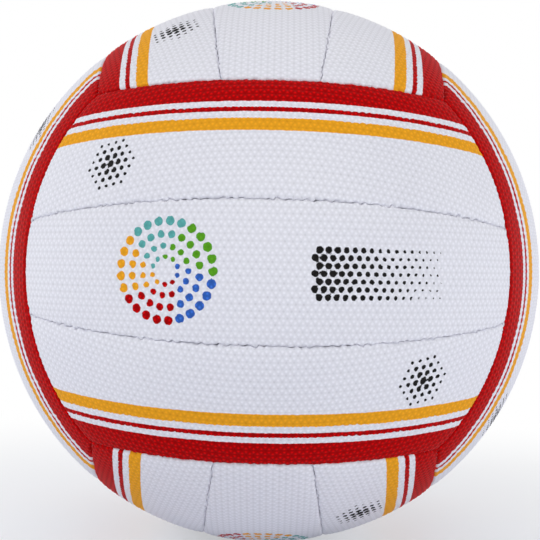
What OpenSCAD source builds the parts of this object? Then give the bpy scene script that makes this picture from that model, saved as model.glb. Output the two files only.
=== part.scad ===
/* [Ball] */
// Diameter of the pumped ball, for a circumference of 700 mm
ball_d = 222.8; // [216:0.4:228]
// Thickness of the rubber cover
cover_t = 1.3; // [1.1:0.1:1.5]
// Thickness of the cloth lining behind each panel
lining_t = 1; // [0.7:0.1:1.1]
// Thickness of the bladder's wall
bladder_t = 0.7; // [0.6:0.1:1.2]

/* [Seam pattern] */
// Width of a middle strip at the middle of its face
middle_strip_w = 49; // [45:0.5:53]
// Width of a middle strip at its two ends
middle_strip_end_w = 34; // [32:0.5:37]
// How far each long seam leans over toward the neighbouring face, in degrees
seam_bulge = 6.5; // [4:0.5:9]
// Gap between two panels at a seam
seam_gap = 0.2; // [0.1:0.05:0.3]
// Width and depth of the rolled edge at a seam
edge_roll = 1.1; // [0.8:0.1:1.2]
// Radius of the rolled edge's arc
edge_roll_r = 1.5; // [1.4:0.1:2]

/* [Turned-in edges] */
// Thickness of a panel's turned-in edge
flange_t = 1.2; // [1:0.1:1.4]
// Depth of a turned-in edge, from the ball's surface
flange_depth = 4.6; // [4.4:0.1:5]
// Play between a lining and the panel that holds it
lining_play = 0.05; // [0.05:0.05:0.1]
// Play between the bladder and the turned-in edges
bladder_play = 0.1; // [0.05:0.05:0.2]

/* [Stitches] */
// Depth of the stitches below the ball's surface
stitch_depth = 3.3; // [3.2:0.1:3.5]
// Distance between two stitches along a seam
stitch_pitch = 7.5; // [7:0.25:9]
// Diameter of the thread that crosses the seam
stitch_d = 0.7; // [0.6:0.05:0.75]
// Play of a stitch in its hole, on the radius
stitch_play = 0.1; // [0.05:0.05:0.15]
// Diameter of the doubled thread along each turned-in edge
rail_d = 0.8; // [0.8:0.05:0.9]
// Play between that thread and the turned-in edge
rail_play = 0.05; // [0.02:0.01:0.08]
// Distance from a corner or a crossing seam to the nearest stitch
stitch_margin = 4.5; // [4:0.25:6]

/* [Valve] */
// Diameter of the hole in the panel, the lining and the bladder
valve_hole_d = 8.4; // [8.2:0.1:9]
// Diameter of the boot's neck
boot_d = 8; // [7.6:0.1:8]
// Depth of the neck's rim below the ball's surface
boot_sink = 0.4; // [0.2:0.1:0.6]
// Length of the boot's tube inside the bladder
boot_tube_l = 13; // [11:0.5:16]
// Diameter of the boot's patch on the bladder
patch_d = 30; // [24:1:36]
// Thickness of the patch
patch_t = 1.2; // [0.8:0.1:1.6]
// Play between the patch and the bladder's wall
patch_play = 0.05; // [0.02:0.01:0.08]
// Diameter of the plug's stem
plug_d = 4.8; // [4:0.1:5]
// Play of the plug in the boot's bore, on the radius
plug_play = 0.05; // [0.02:0.01:0.08]
// Diameter of the plug's head
plug_head_d = 6.2; // [5.8:0.1:6.4]
// Thickness of the plug's head
plug_head_t = 1.4; // [1.2:0.1:1.8]
// Length of the whole plug
plug_l = 17; // [14:0.5:18]
// Length of the tapered end of the plug
plug_taper_l = 2.4; // [1.6:0.2:3]
// Diameter of the tapered end
plug_tip_d = 3.2; // [2.8:0.1:3.6]
// Diameter of the needle's guide
needle_d = 2.2; // [2:0.05:2.3]
// Depth of the needle's guide
needle_depth = 5; // [4:0.5:6]
// Width of the slit that closes on the needle
slit_w = 0.3; // [0.2:0.05:0.4]
// Length of the slit across the plug
slit_l = 2; // [1.6:0.1:2.1]

/* [Hidden] */
$fn = 128;
// Facets round a thread and round its hole
thread_facets = 24;
FACES = ["front", "back", "left", "right", "top", "bottom"];
PLACES = ["low", "middle", "high"];

// One length that every cut runs past the solid that it cuts
overrun = 0.6;
// Angle that the seam faces lean off a true radius, so that no two cones share a point
seam_lean_angle = 1;
// Where three faces meet, each coordinate is this share of the radius
corner_share = 1 / sqrt(3);

ball_r = ball_d / 2;
gap = seam_gap / 2;
cover_in_r = ball_r - cover_t;
lining_out_r = cover_in_r - lining_play;
lining_in_r = lining_out_r - lining_t;
flange_in_r = ball_r - flange_depth;
bladder_out_r = flange_in_r - bladder_play;
bladder_in_r = bladder_out_r - bladder_t;
stitch_r = ball_r - stitch_depth;
lining_inset = gap + flange_t + lining_play;

// A long seam is a circle about an axis that leans off the neighbouring face's middle
seam_polar = acos(corner_share * (cos(seam_bulge) - sin(seam_bulge)));
seam_half_angle = seam_polar - seam_lean_angle;
seam_apex = ball_r * (cos(seam_polar) - sin(seam_polar) / tan(seam_half_angle));
seam_span = asin(corner_share / sin(seam_polar));

// An inner seam is a plane, z = inner_slope * distance in front + inner_rise
mid_z = middle_strip_w / 2;
mid_y = sqrt(ball_r * ball_r - mid_z * mid_z);
end_z = middle_strip_end_w / 2;
end_y = ball_r * corner_share;
inner_slope = (mid_z - end_z) / (mid_y - end_y);
inner_rise = mid_z - inner_slope * mid_y;
inner_tilt = atan(inner_slope);
inner_apex = inner_rise * cos(inner_tilt);

// Where an inner seam meets the long seams of the faces beside it
bulge_cos = cos(seam_bulge);
bulge_sin = sin(seam_bulge);
seam_plane = ball_r * cos(seam_polar);
quad_a = bulge_cos * bulge_cos + bulge_sin * bulge_sin * (1 + inner_slope * inner_slope);
quad_b = 2 * inner_slope * inner_rise * bulge_sin * bulge_sin - 2 * seam_plane * bulge_cos;
quad_c = seam_plane * seam_plane
    + bulge_sin * bulge_sin * (inner_rise * inner_rise - ball_r * ball_r);
meet_y = (sqrt(quad_b * quad_b - 4 * quad_a * quad_c) - quad_b) / (2 * quad_a);
meet_z = inner_slope * meet_y + inner_rise;
meet_x = sqrt(ball_r * ball_r - meet_y * meet_y - meet_z * meet_z);

// A kind of seam is its half angle and the height of its cone's point; a plane has 90 degrees
LONG = [seam_half_angle, seam_apex];
INNER = [90, inner_apex];

// Distance from the cone's point to its rim at the radius r
function run_at(seam, r) =
    sqrt(r * r - pow(seam[1] * sin(seam[0]), 2)) - seam[1] * cos(seam[0]);
// Radius of the seam's circle at the depth of the stitches, and what one degree on it measures
function stitch_circle_r(seam) = run_at(seam, stitch_r) * sin(seam[0]);
function degree_l(seam) = stitch_circle_r(seam) * PI / 180;

// Places of the stitches between two distances from the middle of a seam, centred there
function spread(low, high) =
    let (
        steps = floor((high - low) / stitch_pitch),
        first = (low + high - steps * stitch_pitch) / 2
    )
    [for (i = [0:steps]) first + i * stitch_pitch];

long_reach = seam_span * degree_l(LONG) - stitch_margin;
crossing = asin(meet_z / (ball_r * sin(seam_polar))) * degree_l(LONG);
inner_reach = asin(meet_x / sqrt(ball_r * ball_r - inner_apex * inner_apex)) * degree_l(INNER)
    - stitch_margin;
low_stitches = spread(-long_reach, -crossing - stitch_margin);
middle_stitches = spread(stitch_margin - crossing, crossing - stitch_margin);
high_stitches = spread(crossing + stitch_margin, long_reach);
long_stitches = concat(low_stitches, middle_stitches, high_stitches);
inner_stitches = spread(-inner_reach, inner_reach);

rail_offset = gap + flange_t + rail_play + rail_d / 2;
hole_l = 2 * (gap + flange_t + overrun);
// Half the angle that a rolled edge's waste takes, a little past the longest seam's end
waste_angle = 60;

valve_hole_r = valve_hole_d / 2;
boot_top = ball_r - boot_sink;
boot_bottom = bladder_in_r - boot_tube_l;
boot_bore_r = plug_d / 2 + plug_play;
plug_top = boot_top;
plug_bottom = plug_top - plug_l;

// Each strip goes by the side of the ball that it lies toward, from low to high in its own frame
function strip_names(face) =
    face == "front" || face == "back" ? ["lower", "middle", "upper"] :
    face == "left" ? ["front", "middle", "back"] :
    face == "right" ? ["back", "middle", "front"] :
    face == "top" ? ["right", "middle", "left"] : ["left", "middle", "right"];
function strip_name(face, layer, place) =
    str(face, "_", layer, "_", strip_names(face)[search([place], PLACES)[0]]);

// Turns what is drawn for the front face to another face
module on_face(face) {
    if (face == "front") children();
    if (face == "back") rotate([0, 0, 180]) children();
    if (face == "bottom") rotate(a = 120, v = [1, 1, 1]) children();
    if (face == "top") rotate([0, 180, 0]) rotate(a = 120, v = [1, 1, 1]) children();
    if (face == "left") rotate(a = 240, v = [1, 1, 1]) children();
    if (face == "right") rotate([0, 0, 180]) rotate(a = 240, v = [1, 1, 1]) children();
}

// Frames of the seams round the front face: the seam's own axis is +Z in each, and the
// seam's middle lies toward -Y
module top_seam_frame() {
    rotate([-seam_bulge, 0, 0]) children();
}
module side_seam_frame(side) {
    rotate([0, 0, side * seam_bulge]) rotate([90, 0, 0]) rotate([0, 0, -side * 90]) children();
}
module inner_seam_frame() {
    rotate([-inner_tilt, 0, 0]) children();
}

// Turns what is drawn for the upper half of the front face to its lower half
module flipped(place) {
    rotate([0, place == "low" ? 180 : 0, 0]) children();
}

// The solid inside a long seam's cone, grown by a distance square to its face
module cone_core(grown) {
    apex = seam_apex - grown / sin(seam_half_angle);
    low = flange_in_r * cos(seam_polar) / 2;
    high = ball_r + overrun;
    translate([0, 0, low])
        cylinder(
            h = high - low,
            r1 = (low - apex) * tan(seam_half_angle),
            r2 = (high - apex) * tan(seam_half_angle)
        );
}

// Everything above the inner seam's plane, raised by a distance
module above_inner_seam(raised) {
    inner_seam_frame()
        translate([-ball_d, -ball_d, inner_apex + raised])
            cube([2 * ball_d, 2 * ball_d, ball_d]);
}

// What a strip's four seams enclose, drawn in by a distance
module strip_sector(place, inset) {
    if (place == "middle")
        difference() {
            intersection() {
                side_seam_frame(1) cone_core(-inset);
                side_seam_frame(-1) cone_core(-inset);
            }
            above_inner_seam(-inset);
            flipped("low") above_inner_seam(-inset);
        }
    else
        flipped(place)
            difference() {
                intersection() {
                    side_seam_frame(1) cone_core(-inset);
                    side_seam_frame(-1) cone_core(-inset);
                    above_inner_seam(inset);
                }
                top_seam_frame() cone_core(inset);
            }
}

// A shell between two radii
module shell(outer_r, inner_r) {
    difference() {
        sphere(r = outer_r);
        sphere(r = inner_r);
    }
}

// Carries what is drawn about the stitch to a place along a seam: +Z is outward, +X across
module at_stitch(seam, along) {
    rotate([0, 0, along / degree_l(seam) - 90])
        translate([0, 0, seam[1]])
            rotate([0, seam[0], 0])
                translate([0, 0, run_at(seam, stitch_r)])
                    children();
}

// The arc of waste along a rolled edge, which it leaves with two flats. The flats run on past
// the seam face and the ball's surface. side is 1 inside the seam's cone and -1 outside it
module edge_waste(seam, side) {
    half_turn = asin(edge_roll / sqrt(2) / edge_roll_r);
    ridge = edge_roll / 2 + edge_roll_r * (cos(half_turn) - 1) / sqrt(2);
    run_on = edge_roll + overrun * (edge_roll - ridge) / ridge;
    translate([0, 0, seam[1]])
        rotate([0, 0, -90 - waste_angle])
            rotate_extrude(angle = 2 * waste_angle)
                rotate(90 - seam[0])
                    translate([run_at(seam, ball_r), side * gap])
                        polygon([
                            [-run_on, -side * overrun],
                            [-ridge, side * ridge],
                            [overrun, side * run_on],
                            [overrun, -side * overrun]
                        ]);
}

// The holes of the stitches along a seam
module stitch_holes(seam, places) {
    for (along = places)
        at_stitch(seam, along)
            rotate([0, 90, 0])
                cylinder(h = hole_l, r = stitch_d / 2 + stitch_play, center = true, $fn = thread_facets);
}

// A strip of cover with its four turned-in edges, open on the inside
module strip_tray(place) {
    difference() {
        intersection() {
            shell(ball_r, flange_in_r);
            strip_sector(place, gap);
        }
        intersection() {
            sphere(r = cover_in_r);
            strip_sector(place, gap + flange_t);
        }
    }
}

// Rolls the two edges at a strip's ends, one after the other
module rolled_at_ends() {
    difference() {
        difference() {
            children();
            side_seam_frame(1) edge_waste(LONG, 1);
        }
        side_seam_frame(-1) edge_waste(LONG, 1);
    }
}

// Rolls the two edges along a strip
module rolled_along(place) {
    difference() {
        difference() {
            children();
            flipped(place == "low" ? "low" : "high")
                inner_seam_frame() edge_waste(INNER, place == "middle" ? -1 : 1);
        }
        if (place == "middle")
            flipped("low") inner_seam_frame() edge_waste(INNER, -1);
        else
            flipped(place) top_seam_frame() edge_waste(LONG, -1);
    }
}

// A rubber panel: the rolled cover, pierced for the thread
module panel(face, place) {
    color("white")
        difference() {
            on_face(face)
                difference() {
                    rolled_along(place) rolled_at_ends() strip_tray(place);
                    panel_holes(place);
                }
            if (face == "back" && place == "middle")
                valve_hole();
        }
}

// The stitch holes in a strip's four turned-in edges
module panel_holes(place) {
    end_stitches = place == "low" ? low_stitches :
        place == "middle" ? middle_stitches : high_stitches;
    for (side = [1, -1])
        side_seam_frame(side) stitch_holes(LONG, -side * end_stitches);
    if (place == "middle")
        for (half = ["low", "high"])
            flipped(half) inner_seam_frame() stitch_holes(INNER, inner_stitches);
    else
        flipped(place) {
            inner_seam_frame() stitch_holes(INNER, inner_stitches);
            top_seam_frame() stitch_holes(LONG, long_stitches);
        }
}

// A cloth lining, laminated inside its panel
module lining(face, place) {
    color("oldlace")
        difference() {
            on_face(face)
                intersection() {
                    shell(lining_out_r, lining_in_r);
                    strip_sector(place, lining_inset);
                }
            if (face == "back" && place == "middle")
                valve_hole();
        }
}

// The valve's frame: +Z is outward through the middle of the back face
module valve_frame() {
    rotate([-90, 0, 0]) children();
}

module valve_hole() {
    valve_frame()
        translate([0, 0, bladder_in_r - overrun])
            cylinder(h = flange_depth + bladder_t + 2 * overrun, r = valve_hole_r);
}

// One run of thread along a turned-in edge
module rail(seam, side, places) {
    run = run_at(seam, stitch_r);
    offset_x = side * rail_offset;
    first = places[0] / degree_l(seam);
    last = places[len(places) - 1] / degree_l(seam);
    translate([0, 0, seam[1] + run * cos(seam[0]) - offset_x * sin(seam[0])])
        rotate([0, 0, first - 90])
            rotate_extrude(angle = last - first)
                translate([run * sin(seam[0]) + offset_x * cos(seam[0]), 0])
                    circle(d = rail_d, $fn = thread_facets);
}

// A stitched seam: a rail of thread on each edge, and the stitches that draw them together
module laced_seam(seam, full_side, groups) {
    all_places = [for (group = groups) for (along = group) along];
    rail(seam, full_side, all_places);
    for (group = groups)
        rail(seam, -full_side, group);
    for (along = all_places)
        at_stitch(seam, along)
            rotate([0, 90, 0])
                cylinder(h = 2 * rail_offset, d = stitch_d, center = true, $fn = thread_facets);
}

// The four seams that belong to a face: its two inner seams and its two long ones
module seam_threads(face) {
    color("dimgray")
        on_face(face)
            for (place = ["low", "high"])
                flipped(place) {
                    inner_seam_frame() laced_seam(INNER, 1, [inner_stitches]);
                    top_seam_frame()
                        laced_seam(LONG, 1, [low_stitches, middle_stitches, high_stitches]);
                }
}

// The butyl bladder, with the hole that the boot's neck stands in
module bladder() {
    color("black")
        difference() {
            shell(bladder_out_r, bladder_in_r);
            valve_hole();
        }
}

// The moulded boot: its patch under the bladder's wall, its neck and its tube
module valve_boot() {
    color("dimgray")
        valve_frame()
            difference() {
                union() {
                    translate([0, 0, boot_bottom])
                        cylinder(h = boot_top - boot_bottom, d = boot_d);
                    intersection() {
                        shell(bladder_in_r - patch_play, bladder_in_r - patch_play - patch_t);
                        cylinder(h = ball_r, d = patch_d);
                    }
                }
                translate([0, 0, boot_bottom - overrun])
                    cylinder(h = boot_top - boot_bottom + 2 * overrun, r = boot_bore_r);
                translate([0, 0, boot_top - plug_head_t])
                    cylinder(h = plug_head_t + overrun, d = plug_head_d + 2 * plug_play);
            }
}

// The plug that closes the boot and takes the pump's needle
module valve_insert() {
    color("gainsboro")
        valve_frame()
            difference() {
                union() {
                    translate([0, 0, plug_top - plug_head_t])
                        cylinder(h = plug_head_t, d = plug_head_d);
                    translate([0, 0, plug_bottom + plug_taper_l])
                        cylinder(h = plug_l - plug_taper_l - plug_head_t / 2, d = plug_d);
                    translate([0, 0, plug_bottom])
                        cylinder(h = plug_taper_l, d1 = plug_tip_d, d2 = plug_d);
                }
                translate([0, 0, plug_top - needle_depth])
                    cylinder(h = needle_depth + overrun, d = needle_d);
                translate([-slit_l / 2, -slit_w / 2, plug_bottom - overrun])
                    cube([slit_l, slit_w, plug_l - needle_depth + 2 * overrun]);
            }
}

for (face = FACES, place = PLACES)
    panel(face, place);
for (face = FACES, place = PLACES)
    lining(face, place);
for (face = FACES)
    seam_threads(face);
bladder();
valve_boot();
valve_insert();
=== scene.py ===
# %% [markdown]
# # Dressing a netball around its CAD frame
#
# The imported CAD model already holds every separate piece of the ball: eighteen rubber panels,
# their cloth linings, the thread in the seams, the bladder, the valve boot and the plug. This
# lesson gives those pieces their looks. The eighteen panels are smooth in the frame, so they
# are rebuilt here with the moulded pimples, the soft pillowed edges and the print of a real
# cover. The other pieces keep their CAD shape and get the surface of their real material.

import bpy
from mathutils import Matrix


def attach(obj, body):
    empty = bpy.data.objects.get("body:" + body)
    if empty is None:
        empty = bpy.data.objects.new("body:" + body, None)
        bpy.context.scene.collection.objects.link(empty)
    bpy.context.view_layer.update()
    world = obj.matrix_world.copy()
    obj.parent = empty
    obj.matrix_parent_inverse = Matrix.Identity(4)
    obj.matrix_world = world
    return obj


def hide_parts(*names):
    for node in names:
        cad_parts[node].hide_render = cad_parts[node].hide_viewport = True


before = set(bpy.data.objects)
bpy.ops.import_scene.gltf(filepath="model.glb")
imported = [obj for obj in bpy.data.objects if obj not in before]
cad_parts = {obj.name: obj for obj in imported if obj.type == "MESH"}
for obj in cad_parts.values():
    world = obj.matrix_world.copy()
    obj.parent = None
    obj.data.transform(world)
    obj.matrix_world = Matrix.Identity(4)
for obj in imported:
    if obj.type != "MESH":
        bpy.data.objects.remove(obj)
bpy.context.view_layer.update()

import math

import bmesh
import bpy
import numpy as np
from mathutils import Matrix, Vector

MM = 0.001

# %% [markdown]
# ## The seams, as circles on the ball
#
# A cover of strips in crossed groups is the common pattern of a stitched netball. Each of the
# six faces has three strips, and the strips of neighbouring faces run square to each other.
# Every seam lies in a flat plane, so on the ball it is a circle: a direction and an angle away
# from it say all about it. Drawn curves would do too, but a circle cuts cleanly and gives the
# distance from a point to its seam in one line. The numbers below repeat the sizes that the CAD
# was built from, and everything that follows the seams is worked out from them.

# %% Seam circles of the front face
BALL_R = 111.4 * MM
SEAM_GAP = 0.2 * MM
# How far the axis of a long seam leans off the middle of a face
BULGE = math.radians(6.5)
# Three faces meet on the diagonal of a cube, which lies this share of the radius along each axis
CORNER_SHARE = 1 / math.sqrt(3)
# Width of the middle strip, in its middle and at its ends
MIDDLE_W, MIDDLE_END_W = 49 * MM, 34 * MM

long_polar = math.acos(CORNER_SHARE * (math.cos(BULGE) - math.sin(BULGE)))
mid_y = math.sqrt(BALL_R**2 - (MIDDLE_W / 2) ** 2)
inner_slope = (MIDDLE_W - MIDDLE_END_W) / 2 / (mid_y - BALL_R * CORNER_SHARE)
inner_rise = MIDDLE_W / 2 - inner_slope * mid_y
inner_tilt = math.atan(inner_slope)
inner_polar = math.acos(inner_rise * math.cos(inner_tilt) / BALL_R)

# Each seam: its direction, its angle, and 1 where the strip lies inside the circle, else -1.
# ABOVE, UNDER and OVER are short seams, named for where their strip lies.
LEFT = (Vector((math.sin(BULGE), -math.cos(BULGE), 0)), long_polar, 1)
RIGHT = (Vector((-math.sin(BULGE), -math.cos(BULGE), 0)), long_polar, 1)
TOP = (Vector((0, math.sin(BULGE), math.cos(BULGE))), long_polar, -1)
ABOVE = (Vector((0, math.sin(inner_tilt), math.cos(inner_tilt))), inner_polar, 1)
UNDER = (Vector((0, math.sin(inner_tilt), math.cos(inner_tilt))), inner_polar, -1)
OVER = (Vector((0, math.sin(inner_tilt), -math.cos(inner_tilt))), inner_polar, -1)

SEAMS = {"outer": [TOP, LEFT, RIGHT, ABOVE], "middle": [UNDER, LEFT, RIGHT, OVER]}
# The middle strip that carries the valve has a round hole too, which is one more circle
SEAMS["valve"] = SEAMS["middle"]
HOLE_R = 4.2 * MM
HOLE = (Vector((0, -1, 0)), math.asin(HOLE_R / BALL_R), -1)
print("seam circles:", round(math.degrees(long_polar), 2), round(math.degrees(inner_polar), 2))


# %% Distance to a seam
def seam_distance(points, seam):
    """How far points lie inside a strip's seam, measured on the ball."""
    direction, polar, side = seam
    radius = np.linalg.norm(points, axis=1)
    angle = np.arccos(np.clip(points @ np.array(direction) / radius, -1, 1))
    return side * (polar - angle) * BALL_R


face_middle = np.array([[0, -BALL_R, 0]])
print("from the face's middle to a short seam:", seam_distance(face_middle, UNDER) / MM, "mm")

# %% [markdown]
# ## The grip, one cell of it
#
# The cover's grip is moulded into the rubber: small round pimples stand in rings of six, and a
# shallow pit is left in the middle of each ring. Bump in a material could fake it, but then the
# outline and the seam edges stay smooth. So one cell is modelled: a hexagon whose corners are
# the pimples and whose centre is the pit. It is split once, and its points are then raised.

# %% Helpers for the points of a piece
def points_of(piece):
    """The piece's vertices as an array of x, y, z."""
    flat = np.zeros(len(piece.data.vertices) * 3)
    piece.data.vertices.foreach_get("co", flat)
    return flat.reshape(-1, 3)


def move_points(piece, points):
    """Puts the piece's vertices at new places."""
    piece.data.vertices.foreach_set("co", points.ravel())
    piece.data.update()


def only(piece):
    """Selects one piece and nothing else."""
    bpy.ops.object.select_all(action="DESELECT")
    piece.select_set(True)
    bpy.context.view_layer.objects.active = piece


print("points of the bladder in the CAD:", len(points_of(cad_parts["bladder"])))

# %% Model one cell of the grip
PIMPLE_SPACING = 1.53 * MM
PIMPLE_HEIGHT = 0.48 * MM
# Heights of the saddle between two pimples and of the pit's brim, as shares of a pimple
SADDLE_SHARE, BRIM_SHARE = 0.55, 0.62
CELL_W = PIMPLE_SPACING * math.sqrt(3)
ROW_STEP = PIMPLE_SPACING * 1.5
# A point this near to a ring counts as on it
RING_SLACK = 0.05 * MM

bpy.ops.object.select_all(action="DESELECT")
bpy.ops.mesh.primitive_circle_add(vertices=6, radius=PIMPLE_SPACING, fill_type="TRIFAN")
sheet = bpy.context.object
sheet.name = "grip_sheet"
bpy.ops.object.mode_set(mode="EDIT")
bpy.ops.mesh.subdivide(number_cuts=1)
bpy.ops.mesh.select_mode(type="VERT")


def raise_ring(piece, distance, height):
    """Raises the points that lie at one distance from the middle of the cell."""
    bpy.ops.mesh.select_all(action="DESELECT")
    bpy.ops.object.mode_set(mode="OBJECT")
    reach = np.linalg.norm(points_of(piece)[:, :2], axis=1)
    piece.data.vertices.foreach_set("select", np.isclose(reach, distance, atol=RING_SLACK))
    bpy.ops.object.mode_set(mode="EDIT")
    bpy.ops.transform.translate(value=(0, 0, height))


raise_ring(sheet, PIMPLE_SPACING, PIMPLE_HEIGHT)
raise_ring(sheet, CELL_W / 2, SADDLE_SHARE * PIMPLE_HEIGHT)
raise_ring(sheet, PIMPLE_SPACING / 2, BRIM_SHARE * PIMPLE_HEIGHT)
print("one cell:", len(sheet.data.vertices), "points")

# %% [markdown]
# ## A flat sheet of grip
#
# The real mould repeats the cell over the whole panel. Thousands of separate bumps would do
# for a distant view, but here the rubber has to be one skin that can be cut and closed. A second
# cell in the next row makes a unit that repeats on a plain rectangle. Two Array modifiers repeat
# it over the size of the largest strip, and merging the doubled points leaves one sheet. The
# height of each point is kept as an attribute, because the material paints shade into the pits
# and between the pimples, patchy like dirt, paints a highlight on the tops, and lets the ink
# reach further over the pimples than between them.

# %% Repeat the cell into a sheet
SHEET_CELLS, SHEET_ROW_PAIRS = 80, 14
# An outer strip reaches further above its middle than below it
OUTER_SHIFT = 3.5 * MM
# Points nearer than this are merged: on the sheet, and on a piece of the ball
SHEET_MERGE, FINE_MERGE = 0.01 * MM, 0.001 * MM

bpy.ops.mesh.select_all(action="SELECT")
bpy.ops.mesh.duplicate_move(TRANSFORM_OT_translate={"value": (CELL_W / 2, ROW_STEP, 0)})
bpy.ops.object.mode_set(mode="OBJECT")
for offset, count in (((CELL_W, 0, 0), SHEET_CELLS), ((0, 2 * ROW_STEP, 0), SHEET_ROW_PAIRS)):
    bpy.ops.object.modifier_add(type="ARRAY")
    array = sheet.modifiers[-1]
    array.use_relative_offset = False
    array.use_constant_offset = True
    array.constant_offset_displace = offset
    array.count = count
    bpy.ops.object.modifier_apply(modifier=array.name)
bpy.ops.object.mode_set(mode="EDIT")
bpy.ops.mesh.select_all(action="SELECT")
bpy.ops.mesh.remove_doubles(threshold=SHEET_MERGE)
bpy.ops.object.mode_set(mode="OBJECT")

flat = points_of(sheet)
pimple = sheet.data.attributes.new("pimple", "FLOAT", "POINT")
pimple.data.foreach_set("value", (flat[:, 2] / PIMPLE_HEIGHT).astype(np.float32))
print("sheet:", len(flat), "points,", np.ptp(flat[:, 0]) / MM, "x", np.ptp(flat[:, 1]) / MM, "mm")

# %% [markdown]
# ## Wrapping the sheet and cutting it along the seams
#
# The sheet is wrapped over the ball with its rows running along the strip, as the mould is cut.
# A Simple Deform modifier bends only one way, so the wrap is a formula for each point. Then the
# strip is cut out. A Boolean would take minutes on so many faces, and every seam lies in a plane,
# so Bisect does it, once for each of the four seams. More bisects just inside each seam add the
# lines on which the rolled edge needs its points.

# %% Directions of a strip
# How far the middle of each strip is lifted from the middle of its face
LIFT = {"outer": math.radians(24.9), "middle": 0.0, "valve": 0.0}


def strip_axes(strip):
    """The outward, along and across directions at the middle of a strip."""
    lift = LIFT[strip]
    outward = np.array([0, -math.cos(lift), math.sin(lift)])
    across = np.array([0, math.sin(lift), math.cos(lift)])
    return outward, np.array([1.0, 0, 0]), across


print("outward from an outer strip:", strip_axes("outer")[0].round(3))

# %% Wrap the sheet over each kind of strip
# Round the valve the mould is smooth out to the first distance from the hole's edge, and the
# pimples rise to their full height over the second
SMOOTH_REACH, SMOOTH_FADE = 2.6 * MM, 2.0 * MM


def wrapped_sheet(strip):
    """A copy of the sheet, centred on a strip and wrapped over the ball."""
    only(sheet)
    bpy.ops.object.duplicate()
    piece = bpy.context.object
    points = points_of(piece)
    shift = OUTER_SHIFT if strip == "outer" else 0
    points[:, 0] -= (points[:, 0].max() + points[:, 0].min()) / 2
    points[:, 1] -= (points[:, 1].max() + points[:, 1].min()) / 2 - shift
    outward, along, across = strip_axes(strip)
    turn, rise = points[:, :1] / BALL_R, points[:, 1:2] / BALL_R
    level = np.cos(turn) * outward + np.sin(turn) * along
    on_ball = np.cos(rise) * level + np.sin(rise) * across
    # Half of the relief lies below the smooth ball, so that the ball keeps its size
    relief = points[:, 2:] - PIMPLE_HEIGHT / 2
    if strip == "valve":
        rough = np.clip((seam_distance(on_ball, HOLE) - SMOOTH_REACH) / SMOOTH_FADE, 0, 1)
        pimples = 1 - rough * (1 - points[:, 2] / PIMPLE_HEIGHT)
        piece.data.attributes["pimple"].data.foreach_set("value", pimples.astype(np.float32))
        relief *= rough[:, None]
    move_points(piece, (BALL_R + relief) * on_ball)
    return piece


skins = {strip: wrapped_sheet(strip) for strip in SEAMS}
print("wrapped:", list(skins))

# %% Cut the strips out
# Lines inside each seam and round the valve's hole, on which the rolled edges get their points
EDGE_LINES = [0.05 * MM, 0.16 * MM, 0.36 * MM, 0.62 * MM, 0.95 * MM]
HOLE_LINES = [0.08 * MM, 0.3 * MM]


def cut(seam, distance, clear):
    """Cuts the piece in edit mode along a seam, at a distance inside the strip."""
    direction, polar, side = seam
    height = BALL_R * math.cos(polar - side * distance / BALL_R)
    bpy.ops.mesh.select_all(action="SELECT")
    bpy.ops.mesh.bisect(
        plane_co=direction * height,
        plane_no=direction,
        clear_inner=clear and side > 0,
        clear_outer=clear and side < 0,
        threshold=FINE_MERGE,
    )


def cut_strip(piece, strip):
    """Cuts a strip out of its wrapped sheet, and adds the lines inside its edges."""
    only(piece)
    bpy.ops.object.mode_set(mode="EDIT")
    for seam in SEAMS[strip]:
        cut(seam, SEAM_GAP / 2, True)
    for seam in SEAMS[strip]:
        for line in EDGE_LINES:
            cut(seam, SEAM_GAP / 2 + line, False)
    if strip == "valve":
        cut(HOLE, 0, True)
        for line in HOLE_LINES:
            cut(HOLE, line, False)
    bpy.ops.object.mode_set(mode="OBJECT")


for strip, skin in skins.items():
    cut_strip(skin, strip)
    print(strip, "skin:", len(skin.data.polygons), "faces")

# %% [markdown]
# ## Rolled edges and pillowed strips
#
# On the real ball each panel's edge is folded in and drawn tight by the lacing. Close to the
# seam the rubber turns down in a small roll, and over the last few millimetres the whole panel
# sinks a little toward the seam. A Bevel would catch on the pimples. But both are depths that
# depend only on the distance to the seam, so every point is lowered by that depth. The pimples
# press on each other across the seam, so its line isn't clean: it wanders by a fraction of a
# millimetre. Both sides have to wander together, and all eighteen panels are copies of three. So
# the wandering is a field in space that looks the same after each turn that maps the ball on
# itself.

# %% A field that moves both sides of a seam alike
# How far a seam line wanders, over what length, and how far from the seam that has died out
WANDER, WANDER_PITCH, WANDER_REACH = 0.27 * MM, 2.1 * MM, 1.6 * MM
WAVES, WANDER_SEED = 16, 7


def ball_turns():
    """The twelve turns that map the pattern of seams on itself."""
    halves = [np.diag(signs) for signs in ((1, 1, 1), (1, -1, -1), (-1, 1, -1), (-1, -1, 1))]
    third = np.roll(np.eye(3), 1, axis=0)
    return [half @ step for half in halves for step in (np.eye(3), third, third @ third)]


def wander(points, weights):
    """Sideways shifts of the points: a sum of waves, summed again over the ball's turns."""
    dice = np.random.default_rng(WANDER_SEED)
    waves = dice.normal(size=(WAVES, 3))
    waves *= (2 * math.pi / WANDER_PITCH / np.linalg.norm(waves, axis=1))[:, None]
    pushes, phases = dice.normal(size=(WAVES, 3)), dice.uniform(0, 2 * math.pi, WAVES)
    moving = weights > 0
    outward = points[moving] / np.linalg.norm(points[moving], axis=1)[:, None]
    # The field is read on the smooth ball, so that depth doesn't matter
    turns = ball_turns()
    shift = sum(
        np.sin(BALL_R * outward @ turn.T @ waves.T + phases) @ pushes @ turn for turn in turns
    )
    shift -= (shift * outward).sum(axis=1)[:, None] * outward
    # A wave has a variance of a half, so the sum is brought back to a spread of one
    spread = math.sqrt(len(turns) * WAVES / 2)
    moved = points.copy()
    moved[moving] += WANDER / spread * weights[moving][:, None] * shift
    return moved


print("turns of the ball:", len(ball_turns()))


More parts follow.
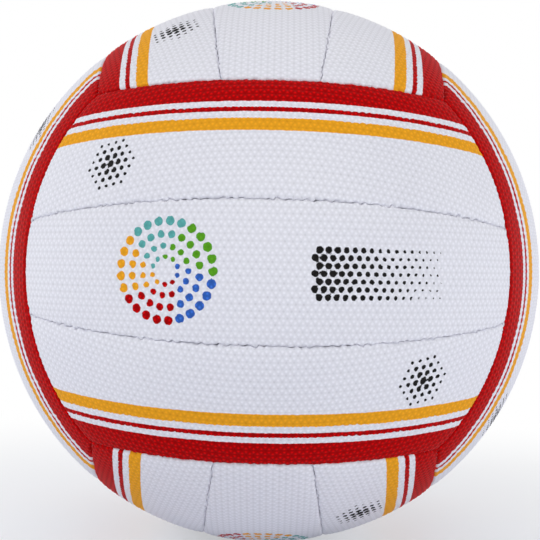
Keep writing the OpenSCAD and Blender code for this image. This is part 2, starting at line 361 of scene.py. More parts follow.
# %% Depth of the rolled and sunk edges
# Radius of the rolled edge at a seam and round the valve's hole
ROLL_R, HOLE_ROLL_R = 0.95 * MM, 0.3 * MM
# How deep a panel sinks at its seams, and how far inside the seam that starts
SINK_DEPTH, SINK_REACH = 0.45 * MM, 6.5 * MM
# Where two rolls meet at a corner, their depths are added by this power, which rounds the corner
ROLL_POWER = 3


def roll_depth(distance, roll_r):
    """How far a rolled edge lies below the ball at a distance inside the edge."""
    inside = np.clip(roll_r - distance, 0, roll_r)
    return roll_r - np.sqrt(roll_r**2 - inside**2)


def edge_depth(points, strip):
    """How far the finished surface lies below the smooth ball at each point."""
    distances = np.array([seam_distance(points, seam) - SEAM_GAP / 2 for seam in SEAMS[strip]])
    rolls = (roll_depth(distances, ROLL_R) ** ROLL_POWER).sum(axis=0) ** (1 / ROLL_POWER)
    sinks = SINK_DEPTH * (np.clip(1 - distances / SINK_REACH, 0, 1) ** 2).sum(axis=0)
    if strip == "valve":
        rolls += roll_depth(seam_distance(points, HOLE), HOLE_ROLL_R)
    return rolls + sinks


depth = edge_depth(face_middle, "middle")[0]
print("depth in the middle of a face:", round(depth / MM, 3), "mm")


# %% Lower the points toward the seams
def near_seam(points, strip):
    """A share that is 1 at the nearest seam and falls to 0 inside the strip."""
    nearest = np.min([seam_distance(points, seam) for seam in SEAMS[strip]], axis=0) - SEAM_GAP / 2
    return np.clip(1 - nearest / WANDER_REACH, 0, 1) ** 2


def lower(piece, strip):
    """Gives a skin its rolled and sunk edges, and lets them wander along the seams."""
    points = points_of(piece)
    radius = np.linalg.norm(points, axis=1)
    lowered = points * ((radius - edge_depth(points, strip)) / radius)[:, None]
    move_points(piece, wander(lowered, near_seam(points, strip)))


for strip, skin in skins.items():
    lower(skin, strip)
    deepest = BALL_R - np.linalg.norm(points_of(skin), axis=1).min()
    print(strip, "skin: its edge lies", round(deepest / MM, 2), "mm below the ball")

# %% [markdown]
# ## The turned-in edges, taken from the CAD panel
#
# Under its skin the panel is a tray: four turned-in edges with the holes of the stitches, and
# the bare inside of the rubber. The CAD node has all of that exactly, so a copy of it gives up
# its smooth outside and keeps the rest, with its rim lowered as far as the skin's rim is. Both
# rims are the same line then, but the skin has more than ten times as many points there. Bridge
# Edge Loops would cross its faces over, so a short piece of mesh code zips the rims together in
# step. The edge of the valve's hole is closed in the same way.

# %% Take the trays from three CAD panels
# The rim of the CAD's outer skin lies this deep, and its points are found with this slack
RIM_DEPTH, RIM_SLACK = 1.1 * MM, 0.04 * MM


def tray_of(node, strip, turn):
    """The CAD panel, turned to the front, without its outer skin."""
    only(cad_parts[node])
    bpy.ops.object.duplicate()
    tray = bpy.context.object
    tray.parent = None
    tray.matrix_world = turn
    bpy.ops.object.transform_apply(location=True, rotation=True, scale=True)
    bpy.ops.mesh.customdata_custom_splitnormals_clear()
    # A CAD mesh is loose triangles, so they are merged before any of them is selected
    bpy.ops.object.mode_set(mode="EDIT")
    bpy.ops.mesh.select_all(action="SELECT")
    bpy.ops.mesh.remove_doubles(threshold=FINE_MERGE)
    bpy.ops.mesh.select_mode(type="FACE")
    bpy.ops.object.mode_set(mode="OBJECT")
    # A face of the outer skin has all its points near the surface of the ball
    radius = np.linalg.norm(points_of(tray), axis=1)
    skin = [
        bool(min(radius[i] for i in face.vertices) > BALL_R - RIM_DEPTH - RIM_SLACK)
        for face in tray.data.polygons
    ]
    tray.data.polygons.foreach_set("select", skin)
    bpy.ops.object.mode_set(mode="EDIT")
    bpy.ops.mesh.delete(type="FACE")
    bpy.ops.mesh.select_mode(type="VERT")
    bpy.ops.object.mode_set(mode="OBJECT")
    # What is left so near to the surface is the rim, which goes to the depth of the new skin's rim
    points = points_of(tray)
    radius = np.linalg.norm(points, axis=1)
    rim = radius > BALL_R - RIM_DEPTH - RIM_SLACK
    finished = BALL_R - edge_depth(points, strip)
    from_seam = near_seam(points, strip)
    points[rim] *= (finished[rim] / radius[rim])[:, None]
    move_points(tray, wander(points, rim * from_seam))
    return tray


trays = {
    "outer": tray_of("front_panel_upper", "outer", Matrix.Identity(4)),
    "middle": tray_of("front_panel_middle", "middle", Matrix.Identity(4)),
    "valve": tray_of("back_panel_middle", "valve", Matrix.Rotation(math.pi, 4, "Z")),
}
print("faces of the trays:", {strip: len(tray.data.polygons) for strip, tray in trays.items()})

# %% Walk round a rim
# A strip is about this many times as long as it is wide, so it is drawn out to a square first
STRETCH = 4


def strip_place(points, strip):
    """Where points lie on a strip, in metres along it and across it."""
    outward, along, across = strip_axes(strip)
    radius = np.linalg.norm(points, axis=1)
    u = np.arctan2(points @ along, points @ outward) * BALL_R
    v = np.arcsin(np.clip(points @ across / radius, -1, 1)) * BALL_R
    return u, v


def round_rim(rim, strip):
    """The points of a rim in their order round the strip, and their angles."""
    loop, before, point = [], None, rim[0]
    while not loop or point is not rim[0]:
        loop.append(point)
        open_sides = [edge.other_vert(point) for edge in point.link_edges if edge.is_boundary]
        before, point = point, open_sides[0] if open_sides[0] is not before else open_sides[1]
    u, v = strip_place(np.array([point.co for point in loop]), strip)
    angle = np.unwrap(np.arctan2(STRETCH * v, u))
    if angle[-1] < angle[0]:
        loop, angle = loop[::-1], angle[::-1]
    # Both rims have to start at the same place, where the angle is a whole turn
    angle -= 2 * math.pi * math.floor(angle[0] / (2 * math.pi))
    start = int(np.argmax(angle > 2 * math.pi))
    angle = np.concatenate((angle[start:], angle[:start] + 2 * math.pi))
    turns = list(np.maximum.accumulate(angle))
    return loop[start:] + loop[:start], turns + [turns[0] + 2 * math.pi]


# %% Zip two rims together
def zip_rims(shape, rim, skin_points, strip):
    """Closes the slit between the skin's rim and the tray's rim with triangles."""
    outer, outer_turn = round_rim([p for p in rim if p.index < skin_points], strip)
    inner, inner_turn = round_rim([p for p in rim if p.index >= skin_points], strip)
    i = j = 0
    while i < len(outer) or j < len(inner):
        a, b = outer[i % len(outer)], inner[j % len(inner)]
        if j == len(inner) or (i < len(outer) and outer_turn[i + 1] <= inner_turn[j + 1]):
            i += 1
            shape.faces.new((a, outer[i % len(outer)], b))
        else:
            j += 1
            shape.faces.new((a, inner[j % len(inner)], b))
    print(strip, "rims:", len(outer), "and", len(inner), "points")


def close_rims(piece, skin_points, strip):
    """Zips the rims of a joined skin and tray, round the strip and round the valve's hole."""
    shape = bmesh.new()
    shape.from_mesh(piece.data)
    rim = [point for point in shape.verts if point.is_boundary]
    near_hole = seam_distance(np.array([point.co for point in rim]), HOLE) < SMOOTH_REACH
    for part in (near_hole, ~near_hole):
        if part.any():
            zip_rims(shape, [rim[i] for i in np.flatnonzero(part)], skin_points, strip)
    shape.to_mesh(piece.data)
    shape.free()


# %% Close the three panels
# Faces that meet at a sharper angle than this keep a hard edge between them
SMOOTH_TO = math.radians(60)


def open_edges(piece):
    """How many edges of a piece don't have a face on both sides."""
    shape = bmesh.new()
    shape.from_mesh(piece.data)
    count = sum(not edge.is_manifold for edge in shape.edges)
    shape.free()
    return count


def close_panel(skin, tray, strip):
    """Joins a skin with its tray into one closed panel."""
    skin_points = len(skin.data.vertices)
    only(skin)
    tray.select_set(True)
    bpy.ops.object.join()
    close_rims(skin, skin_points, strip)
    bpy.ops.object.mode_set(mode="EDIT")
    bpy.ops.mesh.select_all(action="SELECT")
    bpy.ops.mesh.normals_make_consistent(inside=False)
    bpy.ops.mesh.quads_convert_to_tris()
    bpy.ops.object.mode_set(mode="OBJECT")
    bpy.ops.object.shade_smooth_by_angle(angle=SMOOTH_TO)
    print(strip, "panel:", len(skin.data.polygons), "faces,", open_edges(skin), "open edges")


for strip, skin in skins.items():
    close_panel(skin, trays[strip], strip)

# %% [markdown]
# ## The print
#
# The ink is screen-printed on the rubber in the flat, so it follows the strip and ends at its
# seams. A painted picture could hold the design, but it would blur at the edge of every dot. So
# each point of a panel gets two attributes: how far it is from the nearest printed edge,
# negative inside the print, and which ink that is. A distance stays sharp between two points of
# the mesh. The design is plain: bands that run along the long seam, a rosette of dots on each
# middle strip, and fields of black dots.

# %% Inks
def linear(hex_colour):
    """An sRGB hex colour as linear red, green, blue and alpha."""
    values = [int(hex_colour[i : i + 2], 16) / 255 for i in (1, 3, 5)]
    return [v / 12.92 if v <= 0.04045 else ((v + 0.055) / 1.055) ** 2.4 for v in values] + [1.0]


RED, AMBER, BLACK = linear("#C10003"), linear("#F1A724"), linear("#1F1D1D")
GREEN, TEAL, BLUE = linear("#5AA222"), linear("#5DACAA"), linear("#386AC8")
print("red ink, linear:", [round(value, 3) for value in RED[:3]])

# %% Sizes of the design, all in millimetres
# Bands beside the long seam: distance to the middle of the band, its width, its ink
BANDS = [(5.4, 10.8, RED), (14.3, 1.8, RED), (20.4, 4.8, AMBER)]
# Rings of a rosette: distance to its middle, number of dots, radius of a dot
RINGS = [(16.6, 25, 1.55), (12.2, 20, 1.3), (8.2, 15, 1.05), (4.6, 10, 0.85)]
RING_INKS = [GREEN, TEAL, AMBER, RED, BLUE]
# Rows that fade out: pitch, radius of the first dots, and the share of it that the last lose
ROW_PITCH, ROW_DOT, ROW_LOSS = 3.0, 1.2, 0.72
# Hexagon: pitch, radius of its middle dot, and how much smaller each ring's dots are
HEX_PITCH, HEX_DOT, HEX_LOSS = 3.1, 1.32, 0.24
# Staggered rows lie this share of their pitch apart
STAGGER_SHARE = math.sqrt(3) / 2
print("bands:", len(BANDS), "rings:", len(RINGS))


# %% Dots of the design
def rosette(u, v):
    """Rings of dots, in five sectors of colour that turn a little from ring to ring."""
    dots = []
    for ring, (reach, count, radius) in enumerate(RINGS):
        for i in range(count):
            turn = math.tau * (i + ring / 2) / count
            ink = RING_INKS[len(RING_INKS) * i // count]
            dots.append((u + reach * math.cos(turn), v + reach * math.sin(turn), radius, ink))
    return dots


def fading_rows(u, v, length, rows):
    """Staggered rows of black dots that get smaller along the strip."""
    dots = []
    for row in range(-rows, rows + 1):
        for i in range(int(length / ROW_PITCH)):
            along = (i + row % 2 / 2) * ROW_PITCH
            radius = ROW_DOT * (1 - ROW_LOSS * along / length)
            dots.append((u + along, v + row * ROW_PITCH * STAGGER_SHARE, radius, BLACK))
    return dots


def hexagon_of_dots(u, v, rings):
    """A hexagon of black dots that get smaller from its middle."""
    dots = []
    for a in range(-rings, rings + 1):
        for b in range(-rings, rings + 1):
            ring = max(abs(a), abs(b), abs(a + b))
            if ring <= rings:
                place = (u + HEX_PITCH * (a + b / 2), v + HEX_PITCH * b * STAGGER_SHARE)
                dots.append((*place, HEX_DOT - HEX_LOSS * ring, BLACK))
    return dots


# u and v place a design along and across its strip, from the strip's middle
DOTS = {
    "outer": hexagon_of_dots(u=-57, v=-5, rings=3),
    "middle": rosette(u=-34, v=0) + fading_rows(u=16, v=0, length=48, rows=3),
}
DOTS["valve"] = DOTS["middle"]
print("dots:", {strip: len(dots) for strip, dots in DOTS.items()})

# %% Find the nearest print
# The ink reaches this far down the rolled edge, and a bare point counts as this far from it
INK_REACH, BARE = 2.0 * MM, 5 * MM


def nearest_print(points, strip):
    """Distance from each point to the nearest printed edge, in metres, and the ink there."""
    # Each dot and band gives the distance to its own edge, and of these the least one counts
    u, v = strip_place(points, strip)
    shapes = []
    for at, up, radius, ink in DOTS[strip]:
        shapes.append((np.hypot(u - at * MM, v - up * MM) - radius * MM, ink))
    if strip == "outer":
        from_seam = seam_distance(points, TOP)
        for middle, width, ink in BANDS:
            shapes.append((np.abs(from_seam - middle * MM) - width / 2 * MM, ink))
    nearest, inks = np.full(len(points), BARE), np.tile(BLACK, (len(points), 1))
    for distance, ink in shapes:
        closer = distance < nearest
        nearest[closer] = distance[closer]
        inks[closer] = ink
    return nearest, inks


from_print = nearest_print(face_middle, "middle")[0][0]
print("from the face's middle to the nearest print:", round(from_print / MM, 2), "mm")


# %% Write the print on the panels
def print_panel(piece, strip):
    """Stores the distance to the print and its ink on each point of a panel."""
    points = points_of(piece)
    nearest, inks = nearest_print(points, strip)
    # The turned-in edges and the inside stay bare
    nearest[np.linalg.norm(points, axis=1) < BALL_R - INK_REACH] = BARE
    edge = piece.data.attributes.new("print_edge", "FLOAT", "POINT")
    edge.data.foreach_set("value", (nearest / MM).astype(np.float32))
    colour = piece.data.attributes.new("ink", "FLOAT_COLOR", "POINT")
    colour.data.foreach_set("color", inks.astype(np.float32).ravel())
    print(strip, "share of points that are printed:", round(float((nearest < 0).mean()), 2))


for strip, skin in skins.items():
    print_panel(skin, strip)

# %% [markdown]
# ## Rubber with ink on it
#
# The cover is natural rubber, pressed in a hot mould and then screen printed. It is a cool white,
# satin and never quite even. The ink lies on it as a thin film, a touch smoother, with a ragged
# edge, because the screen touches the pimples and misses the pits. Light and shade on the grip
# are painted into the colour too: the pits and the valleys get painted shade, patchy like dirt,
# and the tops a painted highlight. The pimples are in the mesh, so their height can steer all of
# this, and no picture of them is needed.

# %% A helper that adds a node
def add(tree, kind, inputs=None, **settings):
    """Adds a node with its settings. An input is a value, a node or a node's output socket."""
    made = tree.nodes.new(kind)
    for name, value in settings.items():
        setattr(made, name, value)
    for socket, value in (inputs or {}).items():
        if isinstance(value, bpy.types.Node):
            value = next(output for output in value.outputs if output.enabled)
        if isinstance(value, bpy.types.NodeSocket):
            tree.links.new(value, made.inputs[socket])
        else:
            made.inputs[socket].default_value = value
    return made


# %% Start a material and finish it
def start_material(name):
    """An empty material, its tree, and the place on the piece that its patterns read."""
    material = bpy.data.materials.new(name)
    material.use_nodes = True
    tree = material.node_tree
    tree.nodes.clear()
    return material, tree, add(tree, "ShaderNodeTexCoord").outputs["Object"]


def finish(material, ior, colour, rough, height, depth, gloss=0.5):
    """Gives a material its shader, with no metal. The depth of its relief is in metres."""
    tree = material.node_tree
    relief = add(tree, "ShaderNodeBump", {"Height": height, "Distance": depth})
    look = {"Base Color": colour, "Roughness": rough, "Normal": relief}
    body = {"IOR": ior, "Metallic": 0.0, "Specular IOR Level": gloss}
    shader = add(tree, "ShaderNodeBsdfPrincipled", {**look, **body})
    add(tree, "ShaderNodeOutputMaterial", {"Surface": shader})
    print("material:", material.name, "with", len(tree.nodes), "nodes")
    return material


def give(piece, material):
    """Makes a material the only one of a piece."""
    piece.data.materials.clear()
    piece.data.materials.append(material)


# %% How the ink lies on the grip
# In millimetres: how much further the ink reaches on the top of a pimple, how far its edge
# wanders, and over what width it thins out
ON_TOPS, RAGGED, THINS_OUT = 0.35, 0.5, 0.16
RAG_PITCH = 1.6 * MM


def ink_share(tree, place, pimple):
    """1 on the ink and 0 beside it, with the ragged edge of a screen print."""
    edge = add(tree, "ShaderNodeAttribute", attribute_name="print_edge").outputs["Fac"]
    reach = add(tree, "ShaderNodeMath", {0: pimple, 1: -ON_TOPS, 2: edge}, operation="MULTIPLY_ADD")
    rags = {"Vector": place, "Scale": 1 / RAG_PITCH, "Detail": 2.0}
    rag = add(tree, "ShaderNodeTexNoise", rags)
    ragged = add(tree, "ShaderNodeMath", {0: rag, 1: RAGGED, 2: reach}, operation="MULTIPLY_ADD")
    fading = {"From Max": THINS_OUT, "To Min": 1.0, "To Max": 0.0}
    return add(tree, "ShaderNodeMapRange", {"Value": ragged, **fading})


# %% Painted shade and highlight on the grip
# What is left of the colour in a pit, between the pimples and on their tops, each as a share.
# The darkening in the pits and between the pimples is painted shade, the lightening on the
# tops a painted highlight.
DARKEST_PIT_SHADE, LIGHTEST_PIT_SHADE = 0.86, 0.95
BARE_LOW, DEEP_INK_LOW, PALE_INK_LOW = 0.9, 0.66, 0.88
BARE_TOP, DEEP_INK_TOP, PALE_INK_TOP = 1.08, 1.5, 1.1
# Heights between which a pit ends and a top begins, as shares of a pimple
PIT_FROM, PIT_TO, TOP_FROM = 0.05, 0.6, 0.6
# Width of the patches in which the pits' painted shade is deeper, like dirt, and the spread
# of the noise that makes them
SHADE_PATCH_PITCH, SHADE_PATCH_FROM, SHADE_PATCH_TO = 4 * MM, 0.3, 0.7
# From this much green on, an ink is pale
PALE_GREEN = 0.35


def painted_shade_and_highlight(tree, place, pimple, ink, printed):
    """Painted shade and highlight: a share of the colour that is less in the pits, more on the
    tops.
    """
    # Some pits get deeper painted shade than their neighbours, in patches like dirt
    patches = {"Vector": place, "Scale": 1 / SHADE_PATCH_PITCH, "Detail": 1.0}
    patchy = add(tree, "ShaderNodeTexNoise", patches)
    span = {"From Min": SHADE_PATCH_FROM, "From Max": SHADE_PATCH_TO, "To Min": DARKEST_PIT_SHADE, "To Max": LIGHTEST_PIT_SHADE}
    pit_shade_and_dirt = add(tree, "ShaderNodeMapRange", {"Value": patchy, **span})
    # Painted shade: the colour is darker in the pits
    span = {"From Min": PIT_FROM, "From Max": PIT_TO, "To Min": pit_shade_and_dirt, "To Max": 1.0}
    pits = add(
        tree, "ShaderNodeMapRange", {"Value": pimple, **span}, interpolation_type="SMOOTHSTEP"
    )
    # The tops get a painted highlight, stronger on a deep ink than on a pale one
    green = add(tree, "ShaderNodeSeparateColor", {"Color": ink}).outputs["Green"]
    span = {"From Max": PALE_GREEN, "To Min": DEEP_INK_LOW, "To Max": PALE_INK_LOW}
    ink_low = add(tree, "ShaderNodeMapRange", {"Value": green, **span})
    span = {"From Max": PALE_GREEN, "To Min": DEEP_INK_TOP, "To Max": PALE_INK_TOP}
    ink_top = add(tree, "ShaderNodeMapRange", {"Value": green, **span})
    # Painted shade low between the pimples, a painted highlight on their tops
    low = add(tree, "ShaderNodeMapRange", {"Value": printed, "To Min": BARE_LOW, "To Max": ink_low})
    top = add(tree, "ShaderNodeMapRange", {"Value": printed, "To Min": BARE_TOP, "To Max": ink_top})
    span = {"From Min": TOP_FROM, "To Min": low, "To Max": top}
    tops = add(tree, "ShaderNodeMapRange", {"Value": pimple, **span})
    return add(tree, "ShaderNodeMath", {0: pits, 1: tops}, operation="MULTIPLY")


# %% Moulded rubber, screen printed
# What the eye gets: a soft satin light with no mirror in it, because the mould leaves a fine
# skin, and print that breaks up over the grip. Sockets 0, 6 and 7 of a Mix node are its share
# and its two colours.
RUBBER_IOR = 1.52
BARE_ROUGH, INK_ROUGH = 0.55, 0.48
# The pores of the rubber break up the mirror light, so little gloss is left
COVER_GLOSS = 0.04
CLOUD_PITCH = 30 * MM
GRAIN_PITCH, GRAIN_DEPTH = 0.5 * MM, 0.0125 * MM


def printed_rubber():
    """The cover's material, which reads the height of the pimples and the print."""
    material, tree, place = start_material("moulded_rubber_screen_printed")
    pimple = add(tree, "ShaderNodeAttribute", attribute_name="pimple").outputs["Fac"]
    ink = add(tree, "ShaderNodeAttribute", attribute_name="ink").outputs["Color"]
    printed = ink_share(tree, place, pimple)
    # The white is a little uneven, in clouds as wide as a thumb
    clouds = {"Vector": place, "Scale": 1 / CLOUD_PITCH, "Detail": 3.0}
    cloud = add(tree, "ShaderNodeTexNoise", clouds)
    whites = {6: linear("#E8E8F1"), 7: linear("#EDEDF4")}
    white = add(tree, "ShaderNodeMix", {0: cloud, **whites}, data_type="RGBA")
    tinted = add(tree, "ShaderNodeMix", {0: printed, 6: white, 7: ink}, data_type="RGBA")
    # Painted shade in the pits and between the pimples, and a painted highlight on the tops
    relief_shade_and_highlight = painted_shade_and_highlight(tree, place, pimple, ink, printed)
    colour = add(tree, "ShaderNodeVectorMath", {0: tinted, "Scale": relief_shade_and_highlight}, operation="SCALE")
    span = {"To Min": BARE_ROUGH, "To Max": INK_ROUGH}
    rough = add(tree, "ShaderNodeMapRange", {"Value": printed, **span})
    grains = {"Vector": place, "Scale": 1 / GRAIN_PITCH, "Detail": 3.0}
    grain = add(tree, "ShaderNodeTexNoise", grains)
    return finish(material, RUBBER_IOR, colour, rough, grain, GRAIN_DEPTH, COVER_GLOSS)


cover_rubber = printed_rubber()
for skin in skins.values():
    give(skin, cover_rubber)

# %% [markdown]
# ## The pieces behind the cover
#
# Behind the panels lie cloth, thread and more kinds of rubber. They keep the shape that the CAD
# gave them, because nothing of them shows but the valve. The lining is a plain weave of cotton
# and polyester, stiff with latex. The seams are laced with a twisted polyester cord, waxed so
# that it runs through the rubber. The bladder is butyl, dusted with talc so that it doesn't
# stick, and the valve's boot and plug are moulded. None of these has a picture laid on it: each
# pattern is worked out in millimetres, from the pitch of the real threads, strands and pores.

# %% Woven cloth of the linings
# What the eye gets: spun threads are fuzzy, so the cloth is matt, pale threads over darker gaps
CLOTH_IOR, CLOTH_GLOSS = 1.55, 0.2
CLOTH_PITCH, CLOTH_DEPTH, CLOTH_UNEVEN = 1.1 * MM, 0.15 * MM, 0.4
FUZZ_PITCH = 3 * MM
# A Wave Texture of this scale repeats once in a metre, so it is divided by the pitch
ONE_WAVE = math.tau / 20


def woven_cloth():
    """The material of the eighteen linings."""
    material, tree, place = start_material("cotton_polyester_weave")
    # Three crossed waves, one thread wide, look woven from whichever side the cloth is seen
    weave = {"Vector": place, "Scale": ONE_WAVE / CLOTH_PITCH, "Distortion": CLOTH_UNEVEN}
    waves = [
        add(tree, "ShaderNodeTexWave", weave, bands_direction=axis).outputs["Fac"] for axis in "XYZ"
    ]
    crossed = add(tree, "ShaderNodeMath", {0: waves[0], 1: waves[1]}, operation="MAXIMUM")
    threads = add(tree, "ShaderNodeMath", {0: crossed, 1: waves[2]}, operation="MAXIMUM")
    yarns = {6: linear("#B9B1A0"), 7: linear("#DAD4C6")}
    colour = add(tree, "ShaderNodeMix", {0: threads, **yarns}, data_type="RGBA")
    tufts = {"Vector": place, "Scale": 1 / FUZZ_PITCH, "Detail": 3.0}
    fuzz = add(tree, "ShaderNodeTexNoise", tufts)
    rough = add(tree, "ShaderNodeMapRange", {"Value": fuzz, "To Min": 0.75, "To Max": 0.9})
    return finish(material, CLOTH_IOR, colour, rough, threads, CLOTH_DEPTH, CLOTH_GLOSS)


# %% Waxed cord of the seams
# What the eye gets: the twist shows as slanting strands, and the wax lays a soft shine on them
WAX_IOR = 1.45
# The strands' pitch, their depth, and how unevenly they are spun. A diagonal wave comes out
# about a sixth wider than its pitch says.
STRAND_PITCH, STRAND_DEPTH, STRAND_UNEVEN = 0.35 * MM, 0.06 * MM, 0.8
WAX_PITCH = 2 * MM


def waxed_cord():
    """The material of the threads in the seams."""
    material, tree, place = start_material("waxed_polyester_cord")
    twist = {"Vector": place, "Scale": ONE_WAVE / STRAND_PITCH, "Distortion": STRAND_UNEVEN}
    strands = add(tree, "ShaderNodeTexWave", twist, bands_direction="DIAGONAL").outputs["Fac"]
    greys = {6: linear("#4B4A4D"), 7: linear("#8B8A8E")}
    colour = add(tree, "ShaderNodeMix", {0: strands, **greys}, data_type="RGBA")
    smears = {"Vector": place, "Scale": 1 / WAX_PITCH, "Detail": 3.0}
    wax = add(tree, "ShaderNodeTexNoise", smears)
    rough = add(tree, "ShaderNodeMapRange", {"Value": wax, "To Min": 0.35, "To Max": 0.55})
    return finish(material, WAX_IOR, colour, rough, strands, STRAND_DEPTH)


# %% Dusted butyl of the bladder
# What the eye gets: a black, smooth skin that the talc greys and dulls in clouds
BUTYL_IOR = 1.51
DUST_PITCH, SKIN_PITCH, SKIN_DEPTH = 9 * MM, 0.8 * MM, 0.04 * MM
# Least and most dust, as shares of what would hide the black
LEAST_DUST, MOST_DUST = -0.5, 1.3


def dusted_butyl():
    """The material of the bladder."""
    material, tree, place = start_material("butyl_dusted_with_talc")
    clouds = {"Vector": place, "Scale": 1 / DUST_PITCH, "Detail": 5.0}
    dust = add(tree, "ShaderNodeTexNoise", clouds)
    span = {"To Min": LEAST_DUST, "To Max": MOST_DUST}
    thick = add(tree, "ShaderNodeMapRange", {"Value": dust, **span})
    greys = {6: linear("#1F1F21"), 7: linear("#5A5957")}
    colour = add(tree, "ShaderNodeMix", {0: thick, **greys}, data_type="RGBA")
    rough = add(tree, "ShaderNodeMapRange", {"Value": dust, "To Min": 0.45, "To Max": 0.85})
    dimples = {"Vector": place, "Scale": 1 / SKIN_PITCH, "Detail": 3.0}
    skin = add(tree, "ShaderNodeTexNoise", dimples)
    return finish(material, BUTYL_IOR, colour, rough, skin, SKIN_DEPTH)


# %% Moulded rubber of the boot and the plug
# What the eye gets: a polished mould leaves a low sheen, which handling dulls in patches
PORE_PITCH, PORE_DEPTH = 0.3 * MM, 0.03 * MM


def moulded_rubber(name, dark, light, patch_pitch, shiny, dull):
    """Rubber of two tones, with patches of a given pitch that are shiny to dull."""
    material, tree, place = start_material(name)
    patches = {"Vector": place, "Scale": 1 / patch_pitch, "Detail": 3.0}
    handled = add(tree, "ShaderNodeTexNoise", patches)
    tones = {6: linear(dark), 7: linear(light)}
    colour = add(tree, "ShaderNodeMix", {0: handled, **tones}, data_type="RGBA")
    rough = add(tree, "ShaderNodeMapRange", {"Value": handled, "To Min": shiny, "To Max": dull})
    fine = {"Vector": place, "Scale": 1 / PORE_PITCH, "Detail": 3.0}
    pores = add(tree, "ShaderNodeTexNoise", fine)
    return finish(material, RUBBER_IOR, colour, rough, pores, PORE_DEPTH)


boot_rubber = moulded_rubber("moulded_black_rubber", "#1B1B1D", "#343436", 2.5 * MM, 0.42, 0.62)
plug_rubber = moulded_rubber("moulded_pale_rubber", "#B4B2AD", "#CFCDC8", 1.8 * MM, 0.45, 0.6)

# %% Give the materials to the pieces behind the cover
cloth, cord = woven_cloth(), waxed_cord()
for name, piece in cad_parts.items():
    if "_lining_" in name:
        give(piece, cloth)
    elif name.endswith("_seam_threads"):
        give(piece, cord)
give(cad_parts["bladder"], dusted_butyl())
give(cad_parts["valve_boot"], boot_rubber)
give(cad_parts["valve_insert"], plug_rubber)

# %% [markdown]
# ## Eighteen panels from three
#
# The ball has the same two panels over and over, and one more that carries the valve. Modelling
# each by itself would only repeat the work, so the finished three are copied, each copy with its
# own mesh, and turned to their places. The turns are those of a cube: each face is the front
# face turned, and the low strip of a face is its high strip turned half round.

# %% Turns of the faces, and the places of their strips
HALF, THIRD = math.pi, 2 * math.pi / 3
DIAGONAL = Vector((1, 1, 1))
TURNS = {
    "front": Matrix.Identity(4),
    "back": Matrix.Rotation(HALF, 4, "Z"),
    "bottom": Matrix.Rotation(THIRD, 4, DIAGONAL),
    "top": Matrix.Rotation(HALF, 4, "Y") @ Matrix.Rotation(THIRD, 4, DIAGONAL),
    "left": Matrix.Rotation(2 * THIRD, 4, DIAGONAL),
    "right": Matrix.Rotation(HALF, 4, "Z") @ Matrix.Rotation(2 * THIRD, 4, DIAGONAL),
}
# What the strips of each face are called, from its low strip to its high one
PLACES = {
    "front": ("lower", "middle", "upper"),
    "back": ("lower", "middle", "upper"),
    "left": ("front", "middle", "back"),
    "right": ("back", "middle", "front"),
    "top": ("right", "middle", "left"),
    "bottom": ("left", "middle", "right"),
}
print("faces:", list(TURNS))

# %% Copy and turn
covers = []
for face, places in PLACES.items():
    for level, place in zip(("low", "middle", "high"), places):
        kind = "outer" if level != "middle" else "valve" if face == "back" else "middle"
        only(skins[kind])
        bpy.ops.object.duplicate()
        panel = bpy.context.object
        panel.name = f"{face}_{place}_cover"
        flip = Matrix.Rotation(HALF if level == "low" else 0.0, 4, "Y")
        panel.matrix_world = TURNS[face] @ flip
        bpy.ops.object.transform_apply(location=True, rotation=True, scale=True)
        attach(panel, "ball")
        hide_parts(f"{face}_panel_{place}")
        covers.append(panel.name)
for spare in (*skins.values(), sheet):
    bpy.data.objects.remove(spare)
print(len(covers), "panels:", covers)

# %% [markdown]
# ## The camera
#
# The photograph is taken square on, from nearly half a metre. A longer lens from further away
# would show more of the side faces, so the distance matters: it is worked out from how far the
# pattern of seams seems to bulge. The seams also show that the ball lies turned by a degree.
# The camera is turned by that instead, so that the ball stays in the frame of its CAD.

# %% Camera
# Distance to the ball's middle in radii of the ball, and the ball's radius in the picture
RADII_AWAY, OUTLINE_PX = 4.27, 269.8
PICTURE_PX, SENSOR_MM = 540, 36
# How far the ball's middle lies from the picture's middle, in pixels
OFF_X_PX, OFF_Y_PX = 1.0, 1.1
# How far the ball is turned, in radians, and round which direction
TILT, TILT_AXIS = 0.0216, Vector((-0.0044, -0.0194, 0.0084))
# What the camera can see, in metres
NEAREST, FURTHEST = 0.01, 50

camera_data = bpy.data.cameras.new("camera")
camera = bpy.data.objects.new("camera", camera_data)
bpy.context.scene.collection.objects.link(camera)
camera_data.sensor_width = SENSOR_MM
camera_data.lens = SENSOR_MM * OUTLINE_PX * math.sqrt(RADII_AWAY**2 - 1) / PICTURE_PX
camera_data.shift_x = OFF_X_PX / PICTURE_PX
camera_data.shift_y = OFF_Y_PX / PICTURE_PX
camera_data.clip_start, camera_data.clip_end = NEAREST, FURTHEST
back_away = Matrix.Translation((0, -RADII_AWAY * BALL_R, 0))
camera.matrix_world = (
    Matrix.Rotation(TILT, 4, TILT_AXIS) @ back_away @ Matrix.Rotation(math.pi / 2, 4, "X")
)
bpy.context.scene.camera = camera
print("camera:", round(RADII_AWAY * BALL_R, 3), "m away, lens", round(camera_data.lens, 1), "mm")

# %% [markdown]
# ## Floor and light
#
# The photograph's ball is cut out on white and lit softly from all sides, a little more from the
# left. A white wall could be lit until it is white, but that would wash out the ball. So the floor
# and the room are white only to the rays that see them straight, in a reflection or through glass.
# To all other rays the room is a plain grey sky, and six wide, weak lights shape the ball.

# %% Rays that see the background
def sees_background(tree):
    """1 for the rays that see the white background: straight, in a reflection or through glass."""
    rays = add(tree, "ShaderNodeLightPath").outputs
    seen = add(tree, "ShaderNodeMath", {0: rays["Is Camera Ray"], 1: rays["Is Glossy Ray"]})
    through = {0: seen, 1: rays["Is Transmission Ray"]}
    return add(tree, "ShaderNodeMath", through, use_clamp=True)


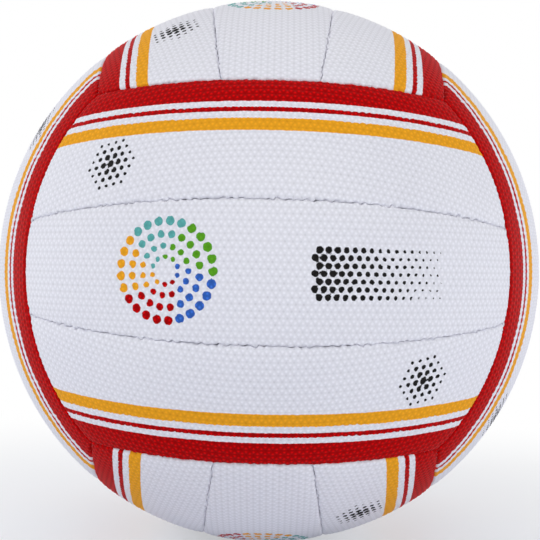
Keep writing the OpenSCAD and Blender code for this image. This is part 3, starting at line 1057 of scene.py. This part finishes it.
# %% Floor
FLOOR_GAP, FLOOR_SIZE = 0.2 * MM, 6
# The floor shows the ball's shadow out to the first distance and is plain white from the second
SHADOW_TO, WHITE_FROM = 0.1, 0.42
# How much of the plain white lies over the shadow, right under the ball
WHITE_UNDER = 0.45

bpy.ops.object.select_all(action="DESELECT")
bpy.ops.mesh.primitive_plane_add(size=FLOOR_SIZE, location=(0, 0, -BALL_R - FLOOR_GAP))
floor = bpy.context.object
floor.name = "floor"
bpy.ops.object.transform_apply(location=True, rotation=True, scale=True)

# White painted board: matt, so it shows the shadow and no reflection
board, tree, place = start_material("white_painted_board")
lit = add(tree, "ShaderNodeBsdfDiffuse", {"Color": linear("#F0F4FC")})
glow = add(tree, "ShaderNodeEmission", {"Color": linear("#FFFFFF"), "Strength": 1.0})
reach = add(tree, "ShaderNodeVectorMath", {0: place}, operation="LENGTH")
span = {"From Min": SHADOW_TO, "From Max": WHITE_FROM, "To Min": WHITE_UNDER, "To Max": 1.0}
share = add(tree, "ShaderNodeMapRange", {"Value": reach, **span}, interpolation_type="SMOOTHSTEP")
white = add(tree, "ShaderNodeMath", {0: sees_background(tree), 1: share}, operation="MULTIPLY")
mixed = add(tree, "ShaderNodeMixShader", {0: white, 1: lit, 2: glow})
add(tree, "ShaderNodeOutputMaterial", {"Surface": mixed})
give(floor, board)
print("floor at", round(-(BALL_R + FLOOR_GAP) / MM, 1), "mm")

# %% Room
# Strength of the room on the ball, where 1 is the white that the camera sees
ROOM_LIGHT = 0.52

scene = bpy.context.scene
scene.view_settings.view_transform = "Standard"
room = bpy.data.worlds.new("soft_white_room")
scene.world = room
room.use_nodes = True
tree = room.node_tree
tree.nodes.clear()
span = {"To Min": ROOM_LIGHT, "To Max": 1.0}
bright = add(tree, "ShaderNodeMapRange", {"Value": sees_background(tree), **span})
sky = add(tree, "ShaderNodeBackground", {"Color": linear("#FFFFFF"), "Strength": bright})
add(tree, "ShaderNodeOutputWorld", {"Surface": sky})
print("room:", room.name, "at", ROOM_LIGHT)

# %% Lights
# Each light: its place in metres, its width in metres, its power in watts
LIGHTS = {
    "key_light": ((-1.1, -0.6, 0.8), 0.6, 5.6),
    "fill_light": ((1.1, -0.6, 0.25), 0.6, 3.8),
    "low_light": ((-0.2, -1.4, 0.05), 0.3, 2.2),
    "left_rim_light": ((-1.25, 0.45, 0.0), 0.5, 1.6),
    "right_rim_light": ((1.25, 0.45, 0.0), 0.5, 1.6),
    "top_light": ((0.0, 0.3, 1.5), 0.8, 2.0),
}

for name, (place, width, power) in LIGHTS.items():
    bpy.ops.object.light_add(type="AREA", location=place)
    lamp = bpy.context.object
    lamp.name = name
    lamp.data.shape = "DISK"
    lamp.data.size = width
    lamp.data.energy = power
    # A lamp shines down its own -Z, which is turned to the ball's middle
    lamp.rotation_euler = (-Vector(place)).to_track_quat("-Z", "Y").to_euler()
print("lights:", len(LIGHTS))
